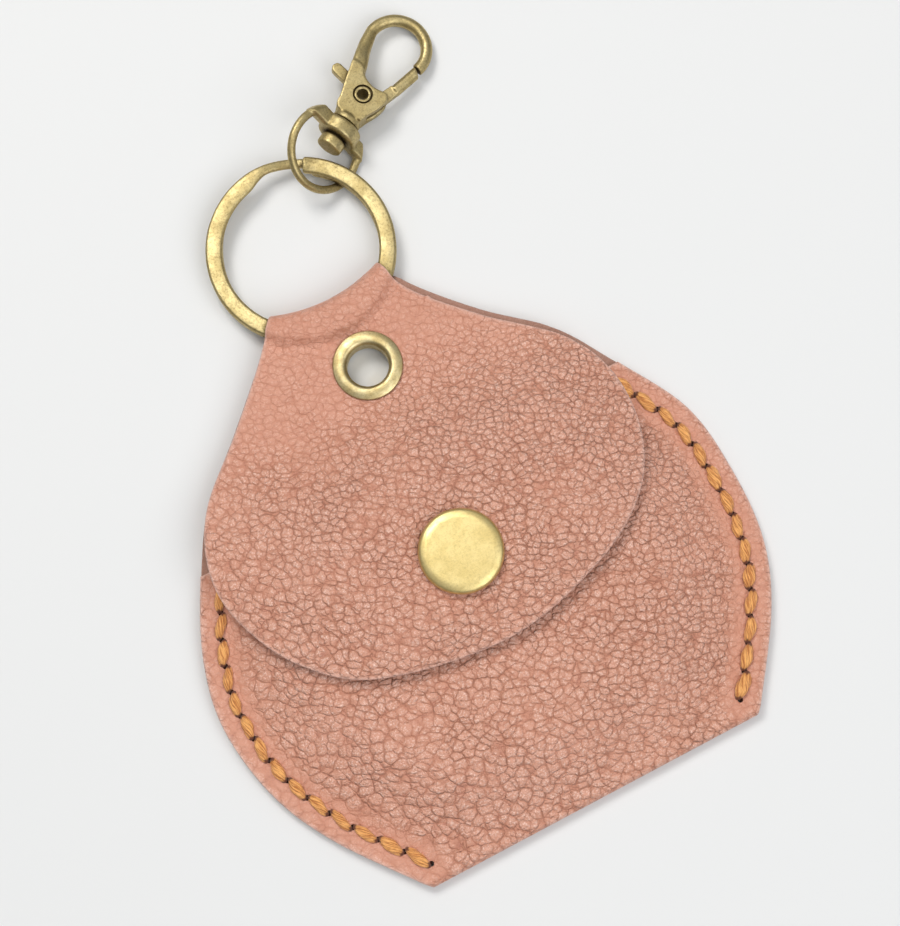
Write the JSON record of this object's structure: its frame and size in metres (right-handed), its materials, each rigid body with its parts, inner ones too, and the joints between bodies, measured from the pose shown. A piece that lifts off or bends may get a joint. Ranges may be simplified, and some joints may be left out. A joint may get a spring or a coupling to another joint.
{
  "type": "leather pick holder",
  "caption": "Small leather pouch for guitar picks with a snapped flap, an eyelet, a split key ring and a swivel lobster clasp.",
  "frame": {"origin": "centre of the eyelet: its axis, at the plane between the two neck layers", "axes": "+X to the right of the front, +Y from the pouch to the key ring, +Z out of the front; the holder lies on its back"},
  "size_m": [0.082, 0.1164, 0.0115],
  "materials": {
    "leather": "terracotta brown cowhide with a pebbled grain, satin, pale cut edges",
    "thread": "waxed flat orange-brown thread, darker at the holes",
    "brass_polished": "antique brass, lightly scratched, dark in the recesses",
    "brass_satin": "pale antique brass, satin",
    "brass_antique": "antique brass, brushed bright on the high spots, dark brown in the recesses",
    "spring_steel": "bare spring wire"
  },
  "bodies": {
    "pouch": {"back_panel": "leather", "bottom_fold": "leather", "pocket_front": "leather", "neck_back": "leather", "neck_front": "leather", "neck_loop": "leather", "left_seam_thread": "thread", "right_seam_thread": "thread", "eyelet_barrel": "brass_polished", "eyelet_washer": "brass_polished", "snap_stud": "brass_satin", "snap_post": "brass_satin"},
    "flap": {"flap": "leather", "snap_cap": "brass_satin", "snap_socket": "brass_satin", "snap_spring": "spring_steel"},
    "key_ring": {"key_ring": "brass_antique"},
    "swivel_eye": {"swivel_eye": "brass_antique"},
    "hook": {"hook_body": "brass_antique", "gate_rivet": "brass_antique", "gate_spring": "spring_steel"},
    "gate": {"hook_gate": "brass_antique"}
  },
  "joints": [
    {"name": "flap_open", "type": "hinge", "parent": "pouch", "child": "flap", "pos_m": [0, -0.00595, 0.0012], "axis": [-1, 0, 0], "range_deg": [0, 130], "deforming": ["snap_spring"]},
    {"name": "ring_swing", "type": "hinge", "parent": "pouch", "child": "key_ring", "pos_m": [-0.0007, 0.00735, 0], "axis": [-1, 0, 0], "range_deg": [-70, 70], "deforming": ["neck_loop"]},
    {"name": "eye_swing", "type": "hinge", "parent": "key_ring", "child": "swivel_eye", "pos_m": [0.00641, 0.0292, 0.0006], "axis": [0.788, -0.6157, 0], "range_deg": [-80, 40]},
    {"name": "hook_swivel", "type": "hinge", "parent": "swivel_eye", "child": "hook", "pos_m": [0.01766, 0.03628, 0.0007], "axis": [0.8532, 0.5075, -0.1199], "continuous": true},
    {"name": "gate_pivot", "type": "hinge", "parent": "hook", "child": "gate", "pos_m": [0.01766, 0.03628, 0.0007], "axis": [0.1392, 0, 0.9903], "range_deg": [0, 28], "stiffness_Nm_per_rad": 0.002, "springref_deg": -20.05, "deforming": ["gate_spring"]}
  ]
}
